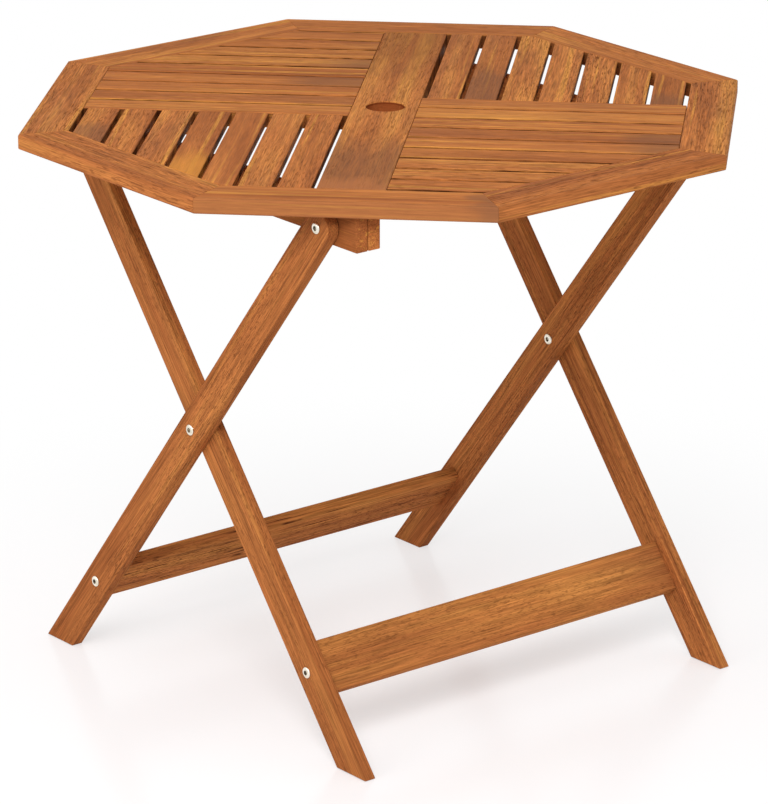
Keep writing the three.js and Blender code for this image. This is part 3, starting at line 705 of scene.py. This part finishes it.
# Bolts
# Nickel-plated connector bolts with flat domed heads and hexagonal sockets. The crossings
# and pivots have a head at each end, the stretchers a head outside and a plain end.
head_radius = 0.0072
head_rise = 0.0022
head_edge = 0.0006
socket_radius = 0.0029
socket_depth = 0.0015
socket_ease = 0.0003
socket_floor_ease = 0.0001
socket_floor_share = 0.98
lip_share = 1.12
shank_play = 0.0003
shank_end_ease = 0.001
bolt_sides = 72


def plated_metal(name, colour, roughness):
    """Plated steel with a faint fine bump, a slightly uneven gloss and duller patches of tarnish."""
    material = bpy.data.materials.new(name)
    material.use_nodes = True
    tree = material.node_tree
    where = add_node(tree, "ShaderNodeTexCoord").outputs["Object"]
    cloud = add_node(tree, "ShaderNodeTexNoise", {"Vector": where, "Scale": 160.0, "Detail": 3.0}).outputs[0]
    gloss = add_node(
        tree, "ShaderNodeMapRange",
        {"Value": cloud, "To Min": roughness - 0.08, "To Max": roughness + 0.14}).outputs[0]
    tarnish = mix_colours(tree, threshold(tree, cloud, 0.4, 0.75), colour, paint(220, 210, 186))
    fine = add_node(tree, "ShaderNodeTexNoise", {"Vector": where, "Scale": 1400.0, "Detail": 2.0}).outputs[0]
    bump = add_node(tree, "ShaderNodeBump", {"Height": fine, "Strength": 0.15, "Distance": 0.0001})
    shader = tree.nodes["Principled BSDF"]
    shader.inputs["Metallic"].default_value = 1.0
    tree.links.new(tarnish, shader.inputs["Base Color"])
    tree.links.new(gloss, shader.inputs["Roughness"])
    tree.links.new(bump.outputs[0], shader.inputs["Normal"])
    return material


bolt_metal = plated_metal("nickel_plate", paint(246, 240, 226), 0.3)
# The socket is dark steel, which also paints the shade inside the recess.
socket_metal_and_shade = plated_metal("socket_steel_and_shade", paint(92, 80, 66), 0.5)
recess_rows = 3


def head_curve(seat, facing):
    """Half the section of a head, from the socket's floor to the seat on the wood."""
    dome = np.linspace(0.12, 1.0, 9)
    crown = seat + facing * head_rise
    floor = crown - facing * socket_depth
    lip = socket_radius * lip_share
    rows = [
        (0, floor, 1), (socket_radius * socket_floor_share, floor, 1),
        (socket_radius, floor + facing * socket_floor_ease, 1),
        (socket_radius, crown - facing * socket_ease, 1), (lip, crown, 0),
    ]
    for angle in dome * math.pi / 2:
        rise = head_edge + (head_rise - head_edge) * math.cos(angle)
        rows.append((lip + (head_radius - lip) * math.sin(angle), seat + facing * rise, 0))
    rows.append((head_radius, seat, 0))
    return rows


hexagon_angle = np.mod(np.arange(bolt_sides) * 2 * math.pi / bolt_sides, math.pi / 3) - math.pi / 6
hexagon = math.cos(math.pi / 6) / np.cos(hexagon_angle)
bolts = {
    "crossing_bolt_left": ("pivot_frame", 1, True), "crossing_bolt_right": ("pivot_frame", -1, True),
    "pivot_bolt_left": ("pivot_bolts", 1, True), "pivot_bolt_right": ("pivot_bolts", -1, True),
    "back_stretcher_bolt_left": ("pivot_frame", 1, False),
    "back_stretcher_bolt_right": ("pivot_frame", -1, False),
    "front_stretcher_bolt_left": ("crossbar_frame", 1, False),
    "front_stretcher_bolt_right": ("crossbar_frame", -1, False),
}
for node_name, (body, side, has_nut) in bolts.items():
    axis = across_frames * side
    low, high = span(node_name, axis)
    bolt_low, bolt_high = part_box(node_name)
    centre = along_fold * sum(span(node_name, along_fold)) / 2
    centre += straight_up * (bolt_low.z + bolt_high.z) / 2
    shank = (bore_radius if has_nut else stretcher_bore_radius) - shank_play
    seat = low + head_rise
    profile = head_curve(seat, -1) + [(shank, seat, 0)]
    if has_nut:
        far_seat = high - head_rise
        profile += [(shank, far_seat, 0)] + head_curve(far_seat, 1)[::-1]
    else:
        profile += [(shank, high - shank_end_ease, 0), (shank - shank_end_ease, high, 0), (0, high, 0)]
    made = turned_piece(node_name.replace("bolt", "cap_bolt"), profile, bolt_sides, axis, centre, hexagon)
    finish_board(made, node_name, body, bolt_metal)
    made.data.materials.append(socket_metal_and_shade)
    # The faces of each socket get the dark steel that paints its shade.
    bands = len(profile) - 3
    ends = [range(recess_rows), range(bands - recess_rows, bands)] if has_nut else [range(recess_rows)]
    inside = np.zeros(len(made.data.polygons), int)
    for rows in ends:
        for row in rows:
            inside[row * bolt_sides:(row + 1) * bolt_sides] = 1
    inside[bands * bolt_sides:] = 1
    if not has_nut:
        inside[-bolt_sides:] = 0
    made.data.polygons.foreach_set("material_index", inside)


# Screws under the battens
# Countersunk steel screws that hold the battens and the block up to the rim and the centre
# board, with their heads drawn flush into the wood from below.
screw_radius = 0.0040
screw_shank = 0.0018
screw_length = 0.052
screw_point = 0.006
screw_head = 0.0026
screw_rim = 0.0003
screw_recess = 0.0013
screw_recess_ease = 0.0001
screw_proud = 0.0002
screw_sides = 64
screw_metal = plated_metal("zinc_plate", paint(206, 198, 172), 0.34)
screw_angle = np.arange(screw_sides) * 2 * math.pi / screw_sides
cross = 0.34 + 0.66 * np.abs(np.cos(2 * screw_angle)) ** 8
screw_profile = [
    (0, screw_recess, 1), (screw_radius * 0.3, screw_recess, 1), (screw_radius * 0.55, screw_recess_ease, 1),
    (screw_radius * 0.6, 0, 0), (screw_radius * 0.94, 0, 0), (screw_radius, screw_proud, 0),
    (screw_radius, screw_proud + screw_rim, 0), (screw_shank, screw_head, 0),
    (screw_shank, screw_length - screw_point, 0), (0, screw_length, 0),
]
batten_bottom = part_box("batten_left")[0].z
screw_rows = {
    "batten_left": [-0.302, -0.282, -0.236, 0.281, 0.302],
    "batten_right": [-0.302, -0.282, -0.236, 0.281, 0.302],
    "spacer_block": [-0.300, -0.246],
}
for node_name, rows in screw_rows.items():
    middle = sum(span(node_name, across_frames)) / 2
    for number, along in enumerate(rows, 1):
        origin = across_frames * middle + along_fold * along + straight_up * (batten_bottom - screw_proud)
        made = turned_piece(
            f"{node_name}_screw_{number}", screw_profile, screw_sides, straight_up, origin, cross)
        made.data.materials.append(screw_metal)
        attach(made, "tabletop")


# Floor and light
# A plain pale floor that fades to white away from the table, soft light from all sides
# and one large lamp above the viewer.
floor_size = 60.0
floor_lift = 0.0008
floor_glow = 0.4
fade_start = 0.12
fade_end = 1.35
fade_centre = (0.05, -0.22, 0.0)
floor_mesh = bpy.data.meshes.new("floor")
edge = floor_size / 2
floor_mesh.from_pydata(
    [(-edge, -edge, -floor_lift), (edge, -edge, -floor_lift), (edge, edge, -floor_lift),
     (-edge, edge, -floor_lift)], [], [(0, 1, 2, 3)])
floor = bpy.data.objects.new("floor", floor_mesh)
bpy.context.scene.collection.objects.link(floor)

floor_material = bpy.data.materials.new("pale_floor")
floor_material.use_nodes = True
tree = floor_material.node_tree
where = add_node(tree, "ShaderNodeTexCoord").outputs["Object"]
distance = add_node(
    tree, "ShaderNodeVectorMath", {0: where, 1: fade_centre}, operation="DISTANCE").outputs[1]
away = threshold(tree, distance, fade_start, fade_end)
lit = tree.nodes["Principled BSDF"]
lit.inputs["Base Color"].default_value = paint(251, 248, 249)
lit.inputs["Roughness"].default_value = 0.22
lit.inputs["Specular IOR Level"].default_value = 0.5
white = add_node(tree, "ShaderNodeEmission", {"Color": (1.0, 1.0, 1.0, 1.0), "Strength": 1.0})
seen = add_node(tree, "ShaderNodeLightPath").outputs
shown = calculate(tree, "MAXIMUM", seen["Is Camera Ray"], seen["Is Glossy Ray"])
glow = add_node(
    tree, "ShaderNodeMapRange", {"Value": away, "To Min": floor_glow, "To Max": 1.0}).outputs[0]
faded = add_node(
    tree, "ShaderNodeMixShader",
    {0: calculate(tree, "MULTIPLY", glow, shown), 1: lit.outputs[0], 2: white.outputs[0]})
tree.links.new(faded.outputs[0], tree.nodes["Material Output"].inputs["Surface"])
floor_mesh.materials.append(floor_material)

world = bpy.data.worlds.new("studio")
bpy.context.scene.world = world
world.use_nodes = True
tree = world.node_tree
seen = add_node(tree, "ShaderNodeLightPath").outputs
shown = calculate(tree, "MAXIMUM", seen["Is Camera Ray"], seen["Is Glossy Ray"])
sky_level = 0.66
level = add_node(
    tree, "ShaderNodeMapRange",
    {"Value": shown, "To Min": sky_level, "To Max": 1.0}).outputs[0]
backdrop = tree.nodes["Background"]
backdrop.inputs["Color"].default_value = (1.0, 1.0, 1.0, 1.0)
tree.links.new(level, backdrop.inputs["Strength"])


def add_lamp(name, place, target, size, power):
    """A square soft lamp at a place, turned towards a target."""
    data = bpy.data.lights.new(name, "AREA")
    data.shape = "SQUARE"
    data.size = size
    data.energy = power
    lamp = bpy.data.objects.new(name, data)
    lamp.location = place
    lamp.rotation_euler = (Vector(target) - Vector(place)).to_track_quat("-Z", "Y").to_euler()
    bpy.context.scene.collection.objects.link(lamp)


table_middle = (0.0, 0.0, 0.4)
add_lamp("key_lamp", (-0.2, -3.8, 3.6), table_middle, 1.8, 160.0)
add_lamp("fill_lamp", (-3.4, -2.0, 2.2), table_middle, 2.6, 30.0)

bpy.context.scene.view_settings.view_transform = "Standard"
